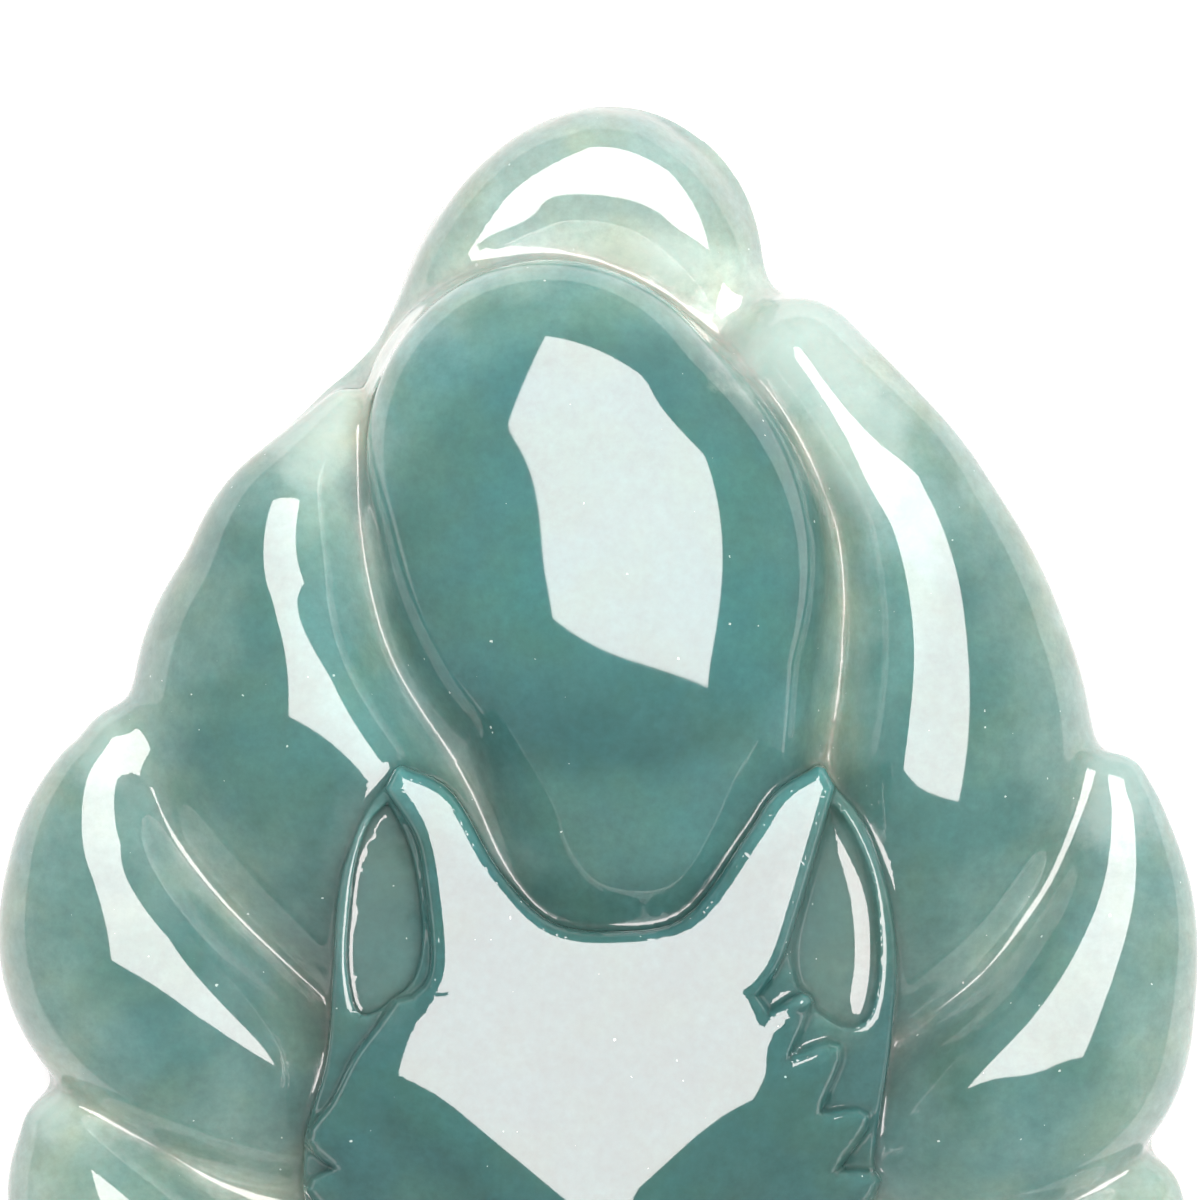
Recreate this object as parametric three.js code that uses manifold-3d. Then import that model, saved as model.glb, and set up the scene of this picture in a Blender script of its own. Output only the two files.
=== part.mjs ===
// A fox pendant carved from one piece of jadeite, lying on its flat back with the carved face up.
// Nine fat tails fan out round the fox's head, each one lapped by the one above it.
// Millimetres: X is the width, Y runs up to the hanging end, and Z is the thickness.
import * as THREE from "three";
import { mergeVertices } from "three/addons/utils/BufferGeometryUtils.js";
import Module from "manifold-3d";

// Driving dimensions
const CROWN_RISE = 0.9; // a tail's crown stands this share of its half width above its waist
const UNDERCUT = 1.8; // a tail rounds under towards a point this many waist heights below its waist
const EAR_TOP = 8.7; // height of the ears' rims above the back
const FACE_TOP = 9.5; // height of the flat forehead above the back
const HEAD_FOOT = 1; // height inside the stone where the head's solids start
const EAR_ROUNDING = 0.3; // taken off inside the ears' edge
const FACE_ROUNDING = 0.3; // slopes out past the edge of the flat face
const CUP_DEPTH = 0.6; // how far the hollow of an ear is sunk below its rim
// The head slopes away past each of these lines: [heading, distance out, slope], angles in degrees
const FACE_SLOPES = [[-130, 8.1, 30], [-47, 7.2, 30], [-90, 12, 24]];
// The cheeks slope away from the flat forehead too, but only below a height up the pendant
const LEFT_CHEEK_SLOPE = [154, 3.6, 24];
const RIGHT_CHEEK_SLOPE = [0, 4.65, 24];
const CHEEK_END = -3;
const CORD_HOLE = 1.3; // bore of the two holes in the back that meet for the cord
const CORD_HOLE_Y = 18.6; // how far up the pendant the cord holes are
const CORD_HOLE_SPREAD = 1.9; // each hole opens this far from the middle
const CORD_HOLE_LEAN = 40; // degrees that each hole leans to meet the other

// Steps that set how finely the curved solids are faceted
const SPINE_STEP = 1.5; // millimetres from ring to ring along a tail
const TIP_STEPS = 4;
const CROWN_STEPS = 10;
const UNDER_STEPS = 3;

// Each tail has its stations from tip to root, seen from the front, as [x, y, left, right, waist]:
// the crest, how far the tail spreads to the left and right of its run, and the height of its waist,
// where it is widest. The crest lies nearer to the flank that the tail above laps over.
const TAILS = [
  {
    rise: 0.2,
    stations: [[0.3, 19, 4.15, 4.15, 2.7], [-1, 17.2, 4.7, 4.7, 2.2], [-2.2, 14.6, 4.6, 4.6, 2.6]],
  },
  {
    rise: 0.7,
    stations: [
      [-4.7, 16.8, 1.4, 2.4, 2.7],
      [-4.1, 18.6, 1.4, 3, 2.8],
      [-3, 20.2, 1.4, 3.4, 3],
      [-1.7, 21.25, 1.4, 3.6, 3.1],
      [-0.4, 21.65, 1.4, 3.7, 3.2],
      [0.5, 21.6, 1.4, 3.7, 3.2],
      [1.6, 21, 1.4, 3.6, 3.1],
      [2.4, 20.1, 1.4, 3.4, 3],
      [3, 19, 1.4, 3, 2.8],
      [3.2, 17.8, 1.4, 2.4, 2.7],
    ],
  },
  {
    stations: [
      [-7.6, 14, 1.1, 0.9, 4.5],
      [-9.6, 11.4, 2.4, 1.6, 5.15],
      [-9.5, 8.8, 2.9, 3.1, 4.6],
      [-8.1, 5.8, 2.5, 5.9, 4.1],
      [-5.4, 2, 2.6, 5.5, 3.8],
      [-3, -1.2, 2.5, 4.4, 3.8],
    ],
  },
  {
    stations: [
      [5.7, 15.6, 2, 2, 4.1],
      [7.5, 12.6, 2.8, 1.4, 4.9],
      [8.55, 10.8, 3.1, 1.8, 4.8],
      [9.2, 7.6, 4.2, 2.3, 4.5],
      [8.95, 4.2, 5.4, 2.5, 4],
      [8.6, 1.4, 4.5, 2.7, 3.8],
      [7.2, -0.9, 3.4, 2.7, 3.8],
    ],
  },
  // the foot that the middle tail stands on, then the middle tail
  {
    rise: 0.6,
    stations: [
      [-2.3, 13.5, 4.9, 4.8, 4],
      [0.1, 10.2, 6.5, 7.4, 4.2],
      [0.95, 7.5, 6, 6.8, 4.5],
      [1.6, 4.9, 4.7, 6.2, 4.6],
      [1.9, 1.5, 4, 5.5, 4.5],
      [2.2, -1.5, 3.6, 4.6, 4],
    ],
  },
  {
    rise: 0.5,
    stations: [
      [-0.1, 13.6, 3.9, 6.9, 6.75],
      [1.1, 10.3, 5.1, 7.1, 6.7],
      [1.1, 7.5, 4.7, 5.4, 7.05],
      [1.6, 4.9, 4.1, 5, 6.5],
      [1.9, 1.5, 3.8, 5, 5.3],
      [2.2, -1.5, 3.6, 4.4, 4.4],
    ],
  },
  {
    stations: [
      [-14.8, 4.8, 0.9, 0.9, 4.8],
      [-15.3, 3.2, 1.5, 1.3, 4.6],
      [-14.8, 0.9, 2.4, 2.7, 4.1],
      [-13.3, -1.8, 2.8, 4.4, 3.55],
      [-10.7, -4, 2.5, 4, 3.3],
      [-8, -5.6, 2.2, 3.4, 2.6],
    ],
  },
  {
    stations: [
      [15, 3.5, 0.9, 1.3, 5],
      [14.9, 2.1, 1.6, 1.3, 4.8],
      [14.6, -0.2, 2.7, 1.5, 4.45],
      [13.65, -2.3, 3.8, 2, 4.15],
      [12.4, -3.9, 4.8, 2.1, 3.8],
      [10.9, -5.3, 4.3, 2.2, 3.8],
      [8.65, -6.8, 3, 2, 3.5],
    ],
  },
  {
    stations: [
      [-15.6, -7, 1.3, 1.6, 3.3],
      [-14.6, -8.9, 2.2, 3, 3.2],
      [-12.4, -10.6, 2.3, 4.1, 3],
      [-9.6, -11.6, 2.2, 3.9, 3.1],
      [-7, -12, 2.2, 3.2, 3.5],
    ],
  },
  {
    stations: [
      [15.4, -8.9, 1.6, 1.3, 3.3],
      [14.4, -10.8, 3, 2.2, 3.2],
      [12.2, -12.5, 4.1, 2.3, 3],
      [9.6, -13.5, 3.9, 2.2, 3.1],
      [7, -13.9, 3.2, 2.2, 3.5],
    ],
  },
  {
    stations: [
      [-15, -13.6, 1.2, 1.5, 2.9],
      [-13.8, -15.4, 2, 2.7, 2.9],
      [-11.2, -17.4, 2.1, 3.6, 2.7],
      [-7.2, -18.9, 2.1, 3.4, 2.8],
      [-2.6, -19.3, 2, 3, 3],
    ],
  },
  {
    stations: [
      [14.5, -15.4, 1.5, 1.2, 2.9],
      [13.2, -17.1, 2.7, 2, 2.9],
      [10.6, -18.7, 3.6, 2.1, 2.7],
      [6.8, -19.5, 3.3, 2.1, 2.8],
      [2.5, -19.5, 3, 2, 3],
    ],
  },
];
// The low stone behind the tails and the head, and the tuft of the chest under the chin
const GROUND = {
  rise: 0.1,
  stations: [[-1, 13.4, 5.8, 5.8, 2.4], [0.2, 4, 13.3, 13.3, 2.4], [-0.1, -6, 16.1, 16.1, 2.4]],
};
const CHEST = { stations: [[0, -21.6, 1.4, 1.4, 3], [0, -19.6, 2.3, 2.3, 3.8], [0, -16, 2.8, 2.8, 4.6]] };
// The ridge of the nose from between the eyes, and the jaw under it
const NOSE_RIDGE = {
  rise: 0.75,
  stations: [[0, -9.5, 1.2, 1.2, 8.3], [0, -12, 1.6, 1.6, 8.2], [0, -15.6, 1.7, 1.7, 8.1]],
};
const JAW = {
  rise: 0.5,
  stations: [[0, -11.5, 2.2, 2.2, 7], [0, -14.6, 2.6, 2.6, 6.8], [0, -16.2, 1.9, 1.9, 6.6]],
};

// The face seen from the front: up one ear, over the crown and down the other ear's inner edge,
// then the locks of cheek fur with the point of each lock and the nick below it, and the chin.
const CROWN = [
  [-5.9, 3.7], [-4.6, 3], [-3.3, 0.8], [-1.7, -0.8], [0.4, -1.1],
  [2.5, -0.6], [4.3, 1.8], [5.1, 3], [6.2, 3.7],
];
const RIGHT_EAR_EDGE = [[6.4, 3.3], [5.7, 0.9], [5.4, -0.1], [4.9, -1.6], [4.2, -2.7]];
const RIGHT_FUR = [
  [4.7, -3.4], [5.8, -2.9], [5.2, -4.6], [6.7, -4.3], [6.1, -6.2], [7.5, -6.3], [6.6, -7.9], [7.8, -8.2],
  [6.8, -9.8], [7.7, -10.1], [6.2, -11.5], [6.8, -12],
];
const CHIN_EDGE = [
  [5.4, -13.2], [4, -14.7], [2.2, -16.3], [0, -17.4], [-2.2, -16.3], [-4, -14.7], [-5.6, -13.2],
];
const LEFT_FUR = [
  [-7.2, -12.2], [-6.6, -11.4], [-8.3, -10.3], [-7.4, -9.6], [-8.5, -8.4], [-7.7, -7.8], [-8.45, -6.95],
  [-7.76, -5.9], [-7.12, -4.6], [-6.45, -3.7], [-5.95, -3],
];
const LEFT_EAR_EDGE = [[-5.5, -2.9], [-5, -2.4], [-4.8, -1.5], [-5, 0.6], [-5.3, 2], [-6.1, 3.3]];

// Each ear's outer edge from its tip to the jaw, the inner points that lie under the face, the
// outline of its hollow cup, and the slope that it falls away in
const LEFT_EAR = {
  edge: [
    [-5.9, 3.8], [-6.9, 2.7], [-7.7, 0.6], [-7.9, -1.9], [-8.1, -4.6],
    [-8.7, -6.8], [-8.7, -9], [-7.6, -11.3], [-5.8, -13],
  ],
  inner: [[-3.8, -12.6], [-3.8, 0], [-4.8, 2.5]],
  cup: [
    [-6.3, 2.9], [-5.7, 1.7], [-5.4, 0.3], [-5.3, -1.2], [-5.6, -2.3], [-6.5, -3.1],
    [-7.2, -3.2], [-7.5, -1.9], [-7.45, -0.5], [-7.25, 1.1], [-6.85, 2.3], [-6.3, 2.9],
  ],
  slope: [180, 4.9, 14],
};
const RIGHT_EAR = {
  edge: [
    [6.2, 3.8], [7.4, 2.5], [8.1, 0.8], [8.5, -1.5], [8.3, -4.3],
    [7.9, -7.1], [7.7, -10], [7, -11.7], [5.6, -13],
  ],
  inner: [[3.7, -12.6], [3.7, 0], [4.8, 2]],
  cup: [
    [6.55, 3], [7.15, 2.2], [7.75, 0.85], [8, -0.6], [8, -2.2], [7.7, -3.4], [7, -3.7],
    [6.1, -3.2], [5.5, -2.4], [5.35, -1.4], [5.6, -0.1], [6, 1.3], [6.3, 2.6], [6.55, 3],
  ],
  slope: [0, 4.9, 19],
};

// Hollows over the eyes: [x, y, z], [half length, half width, half depth], turn in degrees
const BROWS = [
  [[-4.9, -8.9, 9.6], [3.9, 1.3, 1.2], -50],
  [[4.9, -8.9, 9.6], [3.9, 1.3, 1.2], -130],
];
// Rounded forms left standing: the eyes, the nose, the two sides of the mouth
const BOSSES = [
  [[-4.1, -10.3, 8.4], [1.6, 0.75, 0.9], -38],
  [[4.1, -10.3, 8.4], [1.6, 0.75, 0.9], -142],
  [[0, -15.9, 8.9], [0.95, 0.7, 0.9], 0],
  [[-0.9, -16.2, 7.6], [1.1, 0.9, 1], 0],
  [[0.9, -16.2, 7.6], [1.1, 0.9, 1], 0],
];

const manifold = await Module();
manifold.setup();

// A closed geometry as a solid: only positions count, and shared corners are merged.
function toSolid(geometry) {
  const bare = geometry.clone();
  bare.deleteAttribute("normal");
  bare.deleteAttribute("uv");
  const merged = mergeVertices(bare, 1e-4);
  return new manifold.Manifold(
    new manifold.Mesh({
      numProp: 3,
      vertProperties: merged.attributes.position.array,
      triVerts: new Uint32Array(merged.index.array),
    }),
  );
}

function toGeometry(solid) {
  const mesh = solid.getMesh();
  const geometry = new THREE.BufferGeometry();
  geometry.setAttribute("position", new THREE.BufferAttribute(mesh.vertProperties, 3));
  geometry.setIndex(new THREE.BufferAttribute(mesh.triVerts, 1));
  geometry.computeVertexNormals();
  return geometry;
}

// The angles round a tail's section, closer together over the crown than underneath.
function sectionAngles() {
  const angles = [];
  for (let i = 0; i < CROWN_STEPS; i++) angles.push((Math.PI * i) / CROWN_STEPS);
  for (let i = 0; i < UNDER_STEPS; i++) angles.push(Math.PI + (Math.PI * i) / UNDER_STEPS);
  return angles;
}

// A tail is the skin of a row of flattened balls strung on its crest line. Each ring is the line
// where the skin leaves one ball, at the latitude that the change of width gives it.
function tailGeometry({ rise = CROWN_RISE, stations }) {
  const curve = (corners) => new THREE.CatmullRomCurve3(corners, false, "catmullrom");
  const spine = curve(stations.map(([x, y, left, right]) => new THREE.Vector3(x, y, (left + right) / 2)));
  const build = curve(
    stations.map(([, , left, right, waist]) => new THREE.Vector3((left - right) / 2, waist, 0)),
  );
  const steps = Math.ceil(spine.getLength() / SPINE_STEP);
  const rings = [];
  const ringAt = (t, latitude) => {
    const { x, y, z: half } = spine.getPoint(t);
    const { x: swing, y: height } = build.getPoint(t);
    const along = spine.getTangent(t);
    const heading = new THREE.Vector2(along.x, along.y).normalize();
    rings.push({ x, y, half, swing, heading, latitude, height });
  };
  const skinLatitude = (t) => {
    const along = spine.getTangent(t);
    const widening = along.z / Math.hypot(along.x, along.y);
    return -Math.asin(THREE.MathUtils.clamp(widening, -0.95, 0.95));
  };
  const first = skinLatitude(0);
  const last = skinLatitude(1);
  for (let i = 1; i < TIP_STEPS; i++) ringAt(0, THREE.MathUtils.lerp(-Math.PI / 2, first, i / TIP_STEPS));
  for (let i = 0; i <= steps; i++) ringAt(i / steps, skinLatitude(i / steps));
  for (let i = 1; i < TIP_STEPS; i++) ringAt(1, THREE.MathUtils.lerp(last, Math.PI / 2, i / TIP_STEPS));

  const angles = sectionAngles();
  const around = angles.length;
  const positions = [];
  for (const { x, y, half, swing, heading, latitude, height } of rings) {
    const ahead = half * Math.sin(latitude);
    for (const angle of angles) {
      const reach = half + swing * Math.sign(Math.cos(angle)) * Math.cos(latitude);
      const side = reach * Math.cos(latitude) * Math.cos(angle);
      const lift = Math.cos(latitude) * Math.sin(angle);
      positions.push(
        x + heading.x * ahead - heading.y * side,
        y + heading.y * ahead + heading.x * side,
        height + lift * (lift > 0 ? rise * half : UNDERCUT * height),
      );
    }
  }
  const tipPole = rings.length * around;
  const rootPole = tipPole + 1;
  for (const [ring, end] of [[rings[0], -1], [rings.at(-1), 1]]) {
    const reach = ring.half * end;
    positions.push(ring.x + ring.heading.x * reach, ring.y + ring.heading.y * reach, ring.height);
  }
  const index = [];
  for (let j = 0; j < around; j++) {
    const next = (j + 1) % around;
    index.push(tipPole, next, j);
    const lastRing = (rings.length - 1) * around;
    index.push(rootPole, lastRing + j, lastRing + next);
    for (let i = 0; i + 1 < rings.length; i++) {
      const low = i * around;
      const high = low + around;
      index.push(low + j, low + next, high + next, low + j, high + next, high + j);
    }
  }
  const geometry = new THREE.BufferGeometry();
  geometry.setAttribute("position", new THREE.Float32BufferAttribute(positions, 3));
  geometry.setIndex(index);
  return geometry;
}

// A slab with an upright edge and a rounded rim, from the head's foot up to its flat top. The inset
// is how far inside the shape's outline the rounding ends.
function slabGeometry(shape, top, rounding, inset) {
  const geometry = new THREE.ExtrudeGeometry(shape, {
    depth: top - HEAD_FOOT - 2 * rounding,
    bevelThickness: rounding,
    bevelSize: rounding,
    bevelOffset: -inset,
    bevelSegments: 2,
    curveSegments: 2,
  });
  return geometry.translate(0, 0, HEAD_FOOT + rounding);
}

const points = (pairs) => pairs.map(([x, y]) => new THREE.Vector2(x, y));

function faceShape() {
  const shape = new THREE.Shape();
  shape.moveTo(...CROWN[0]);
  shape.splineThru(points(CROWN.slice(1)));
  shape.splineThru(points(RIGHT_EAR_EDGE));
  for (const [x, y] of RIGHT_FUR) shape.lineTo(x, y);
  shape.splineThru(points(CHIN_EDGE));
  for (const [x, y] of LEFT_FUR) shape.lineTo(x, y);
  shape.splineThru(points(LEFT_EAR_EDGE));
  return shape;
}

function earShape({ edge, inner }) {
  const shape = new THREE.Shape();
  shape.moveTo(...edge[0]);
  shape.splineThru(points(edge.slice(1)));
  for (const [x, y] of inner) shape.lineTo(x, y);
  return shape;
}

function ballGeometry([[x, y, z], [length, width, depth], turn]) {
  const geometry = new THREE.SphereGeometry(1, 16, 10);
  geometry.scale(length, width, depth);
  geometry.rotateZ(THREE.MathUtils.degToRad(turn));
  return geometry.translate(x, y, z);
}

// All that is above a plane that slopes down from a line at the given height.
function aboveSlope([heading, distance, slope], top) {
  const size = 60;
  const geometry = new THREE.BoxGeometry(size, size, size).translate(size / 2, 0, size / 2);
  geometry.rotateY(THREE.MathUtils.degToRad(slope));
  geometry.translate(distance, 0, top);
  return toSolid(geometry.rotateZ(THREE.MathUtils.degToRad(heading)));
}

// All that is above a cheek's slope, as far up the pendant as the cheek goes.
function aboveCheek(slope) {
  const size = 60;
  const geometry = new THREE.BoxGeometry(size, size, size).translate(0, CHEEK_END - size / 2, 0);
  return aboveSlope(slope, FACE_TOP).intersect(toSolid(geometry));
}

// One of the two bores that slant in from the back until they meet.
function cordHoleGeometry(side) {
  const depth = CORD_HOLE_SPREAD / Math.tan(THREE.MathUtils.degToRad(CORD_HOLE_LEAN));
  const run = Math.hypot(CORD_HOLE_SPREAD, depth);
  const geometry = new THREE.CylinderGeometry(CORD_HOLE / 2, CORD_HOLE / 2, 1.7 * run, 16);
  geometry.rotateX(Math.PI / 2);
  geometry.rotateY(THREE.MathUtils.degToRad(-side * CORD_HOLE_LEAN));
  const share = 0.28; // how far up its run each bore's middle lies, so that it breaks out of the back
  return geometry.translate(side * CORD_HOLE_SPREAD * (1 - share), CORD_HOLE_Y, depth * share);
}

const join = (geometries) => geometries.map(toSolid).reduce((whole, next) => whole.add(next));

function earSolid({ edge, inner, cup, slope }) {
  let ear = toSolid(slabGeometry(earShape({ edge, inner }), EAR_TOP, EAR_ROUNDING, EAR_ROUNDING));
  for (const fall of [slope, ...FACE_SLOPES]) ear = ear.subtract(aboveSlope(fall, EAR_TOP));
  const cupShape = new THREE.Shape();
  cupShape.moveTo(...cup[0]);
  cupShape.splineThru(points(cup.slice(1)));
  const column = new THREE.ExtrudeGeometry(cupShape, { depth: 20, bevelEnabled: false, curveSegments: 2 });
  return ear.subtract(toSolid(column).intersect(aboveSlope(slope, EAR_TOP - CUP_DEPTH)));
}

function headSolid() {
  let face = toSolid(slabGeometry(faceShape(), FACE_TOP, FACE_ROUNDING, 0));
  for (const slope of FACE_SLOPES) face = face.subtract(aboveSlope(slope, FACE_TOP));
  for (const slope of [LEFT_CHEEK_SLOPE, RIGHT_CHEEK_SLOPE]) face = face.subtract(aboveCheek(slope));
  for (const hollow of BROWS) face = face.subtract(toSolid(ballGeometry(hollow)));
  const muzzle = [...BOSSES.map(ballGeometry), tailGeometry(NOSE_RIDGE), tailGeometry(JAW)];
  return earSolid(LEFT_EAR).add(earSolid(RIGHT_EAR)).add(face).add(join(muzzle));
}

function pendantGeometry() {
  let stone = join([...TAILS, GROUND, CHEST].map(tailGeometry)).add(headSolid());
  const size = 60;
  const belowBack = new THREE.BoxGeometry(size, size, size).translate(0, 0, -size / 2);
  stone = stone.subtract(toSolid(belowBack));
  for (const side of [-1, 1]) stone = stone.subtract(toSolid(cordHoleGeometry(side)));
  // Specks of a thousandth of a cubic millimetre, where two tails barely cross, are left out
  const bySize = stone.decompose().sort((a, b) => b.volume() - a.volume());
  const geometry = toGeometry(bySize[0]);
  geometry.computeBoundingBox();
  const middle = geometry.boundingBox.getCenter(new THREE.Vector3());
  return geometry.translate(-middle.x, -middle.y, 0);
}

const jadeite = new THREE.MeshStandardMaterial({ color: 0x7fa9a2, roughness: 0.08, metalness: 0 });
const pendant = new THREE.Mesh(pendantGeometry(), jadeite);
pendant.name = "fox_pendant";

const group = new THREE.Group();
group.add(pendant);
export default group;
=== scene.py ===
import math

import bmesh
import bpy
import numpy as np
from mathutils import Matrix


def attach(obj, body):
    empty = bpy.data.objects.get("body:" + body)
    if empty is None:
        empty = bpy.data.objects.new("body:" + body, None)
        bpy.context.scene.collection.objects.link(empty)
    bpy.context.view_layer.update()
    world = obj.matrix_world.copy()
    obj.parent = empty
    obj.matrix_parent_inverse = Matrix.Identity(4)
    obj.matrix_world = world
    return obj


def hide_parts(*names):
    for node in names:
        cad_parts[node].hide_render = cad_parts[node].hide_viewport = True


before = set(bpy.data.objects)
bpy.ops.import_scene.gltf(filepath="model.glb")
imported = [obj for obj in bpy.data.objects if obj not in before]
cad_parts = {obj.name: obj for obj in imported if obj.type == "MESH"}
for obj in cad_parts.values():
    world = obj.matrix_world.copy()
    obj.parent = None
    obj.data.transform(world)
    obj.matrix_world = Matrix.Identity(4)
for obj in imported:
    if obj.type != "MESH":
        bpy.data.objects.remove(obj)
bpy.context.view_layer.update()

# The stone, first its tails: one pebble of translucent blue-green jadeite, ground with round burrs.
# Each tail is the skin of a row of flattened balls strung on a spine, and laps the tail below it.
# Lengths are millimetres, with X across, Y up the pendant and Z out of its flat back.
MM = 0.001
STONE = "fox_pendant"
# A ball reaches above its waist by this share of its half width, and below by that share of its waist
CROWN_RISE = 0.9
UNDERCUT = 1.8
CROWN_POWER = 1.9
BALLS = 30
FINE = 10
SMOOTH_ROUNDS = 50
TINY = 1e-12
NEARLY_ZERO = 1e-9
LEAST_STEEPNESS = 1e-6
# The hollow fillets where two tails meet, and between the middle tail and its own lower flank
FILLET = 0.9
FLANK_FILLET = 2

# Each station is a ball: x, y, half width to the left and to the right of the run, and waist height
TAILS = [
    {
        "name": "tip",
        "rise": 0.2,
        "stations": [(0.3, 19, 4.15, 4.15, 2.7), (-1, 17.2, 4.7, 4.7, 2.2), (-2.2, 14.6, 4.6, 4.6, 2.6)],
    },
    {
        "name": "rim",
        "rise": 0.7,
        "power": 2,
        "fillet": 1,
        "stations": [
            (-4.7, 16.8, 1.4, 2.4, 2.7),
            (-4.1, 18.6, 1.4, 3, 2.8),
            (-3, 20.2, 1.4, 3.4, 3),
            (-1.7, 21.25, 1.4, 3.6, 3.1),
            (-0.4, 21.65, 1.4, 3.7, 3.2),
            (0.5, 21.6, 1.4, 3.7, 3.2),
            (1.6, 21, 1.4, 3.6, 3.1),
            (2.4, 20.1, 1.4, 3.4, 3),
            (3, 19, 1.4, 3, 2.8),
            (3.2, 17.8, 1.4, 2.4, 2.7),
        ],
    },
    {
        "name": "upper_left",
        "power": 1.75,
        "stations": [
            (-7.6, 14, 1.1, 0.9, 4.5),
            (-9.6, 11.4, 2.4, 1.6, 5.15),
            (-9.5, 8.8, 2.9, 3.1, 4.6),
            (-8.1, 5.8, 2.5, 5.9, 4.1),
            (-5.4, 2, 2.6, 5.5, 3.8),
            (-3, -1.2, 2.5, 4.4, 3.8),
        ],
    },
    {
        "name": "upper_right",
        "power": 1.8,
        "fillet": 2.2,
        "stations": [
            (5.7, 15.6, 2, 2, 4.1),
            (7.5, 12.6, 2.8, 1.4, 4.9),
            (8.55, 10.8, 3.1, 1.8, 4.8),
            (9.2, 7.6, 4.2, 2.3, 4.5),
            (8.95, 4.2, 5.4, 2.5, 4),
            (8.6, 1.4, 4.5, 2.7, 3.8),
            (7.2, -0.9, 3.4, 2.7, 3.8),
        ],
    },
    {
        "name": "middle",
        "rise": 0.5,
        "power": 2,
        "fillet": 0.6,
        "stations": [
            (-0.1, 13.6, 3.9, 6.9, 6.75),
            (1.1, 10.3, 5.1, 7.1, 6.7),
            (1.1, 7.5, 4.7, 5.4, 7.05),
            (1.6, 4.9, 4.1, 5, 6.5),
            (1.9, 1.5, 3.8, 5, 5.3),
            (2.2, -1.5, 3.6, 4.4, 4.4),
        ],
        "flank": {
            "rise": 0.6,
            "power": 1.9,
            "stations": [
                (-2.3, 13.5, 4.9, 4.8, 4),
                (0.1, 10.2, 6.5, 7.4, 4.2),
                (0.95, 7.5, 6, 6.8, 4.5),
                (1.6, 4.9, 4.7, 6.2, 4.6),
                (1.9, 1.5, 4, 5.5, 4.5),
                (2.2, -1.5, 3.6, 4.6, 4),
            ],
        },
    },
    {
        "name": "left",
        "fillet": 1.5,
        "stations": [
            (-14.5, 4.35, 1.9, 0.95, 4.5),
            (-15.1, 3.1, 2.1, 1.3, 4.5),
            (-14.8, 0.9, 2.4, 2.7, 4.1),
            (-13.3, -1.8, 2.8, 4.4, 3.55),
            (-10.7, -4, 2.5, 4, 3.3),
            (-8, -5.6, 2.2, 3.4, 2.6),
        ],
    },
    {
        "name": "right",
        "fillet": 1.8,
        "stations": [
            (15, 3.3, 0.9, 0.9, 4.7),
            (15, 2.1, 1.5, 1.2, 4.6),
            (14.6, -0.2, 2.7, 1.6, 4.45),
            (13.65, -2.3, 3.8, 2, 4.15),
            (12.4, -3.9, 4.8, 2.1, 3.8),
            (10.9, -5.3, 4.3, 2.2, 3.8),
            (8.65, -6.8, 3, 2, 3.5),
        ],
    },
    {
        "name": "lower_left",
        "stations": [
            (-15.6, -7, 1.3, 1.6, 3.3),
            (-14.6, -8.9, 2.2, 3, 3.2),
            (-12.4, -10.6, 2.3, 4.1, 3),
            (-9.6, -11.6, 2.2, 3.9, 3.1),
            (-7, -12, 2.2, 3.2, 3.5),
        ],
    },
    {
        "name": "lower_right",
        "stations": [
            (15.4, -8.9, 1.6, 1.3, 3.3),
            (14.4, -10.8, 3, 2.2, 3.2),
            (12.2, -12.5, 4.1, 2.3, 3),
            (9.6, -13.5, 3.9, 2.2, 3.1),
            (7, -13.9, 3.2, 2.2, 3.5),
        ],
    },
    {
        "name": "bottom_left",
        "stations": [
            (-15, -13.6, 1.2, 1.5, 2.9),
            (-13.8, -15.4, 2, 2.7, 2.9),
            (-11.2, -17.4, 2.1, 3.6, 2.7),
            (-7.2, -18.9, 2.1, 3.4, 2.8),
            (-2.6, -19.3, 2, 3, 3),
        ],
    },
    {
        "name": "bottom_right",
        "stations": [
            (14.5, -15.4, 1.5, 1.2, 2.9),
            (13.2, -17.1, 2.7, 2, 2.9),
            (10.6, -18.7, 3.6, 2.1, 2.7),
            (6.8, -19.5, 3.3, 2.1, 2.8),
            (2.5, -19.5, 3, 2, 3),
        ],
    },
    {
        "name": "ground",
        "rise": 0.1,
        "power": 2,
        "fillet": 1,
        "stations": [(-1, 13.4, 5.8, 5.8, 2.4), (0.2, 4, 13.3, 13.3, 2.4), (-0.1, -6, 16.1, 16.1, 2.4)],
    },
    {
        "name": "chest",
        "stations": [(0, -21.6, 1.4, 1.4, 3), (0, -19.6, 2.3, 2.3, 3.8), (0, -16, 2.8, 2.8, 4.6)],
    },
]


def spine(points, count):
    """A smooth curve through the points, as count rows of the same numbers."""
    p = np.array(points, float)
    p = np.vstack([2 * p[0] - p[1], p, 2 * p[-1] - p[-2]])
    spans = len(points) - 1
    rows = []
    for u in np.linspace(0, spans, count):
        i = min(int(u), spans - 1)
        t = u - i
        a, b, c, d = p[i : i + 4]
        bend = (2 * a - 5 * b + 4 * c - d) * t**2
        rows.append(0.5 * (2 * b + (c - a) * t + bend + (3 * b - a - 3 * c + d) * t**3))
    return np.array(rows)


def balls(tail):
    """Rows along a tail: x, y, half width, its swing to the left, waist height, and the way it runs."""
    rows = spine(tail["stations"], BALLS * FINE + 1)
    for _ in range(SMOOTH_ROUNDS):
        rows[1:-1] = (rows[:-2] + 2 * rows[1:-1] + rows[2:]) / 4
    way = np.gradient(rows[:, :2], axis=0)
    way /= np.linalg.norm(way, axis=1)[:, None]
    half = (rows[:, 2] + rows[:, 3]) / 2
    swing = (rows[:, 2] - rows[:, 3]) / 2
    return np.column_stack([rows[:, :2], half, swing, rows[:, 4], way])


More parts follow.
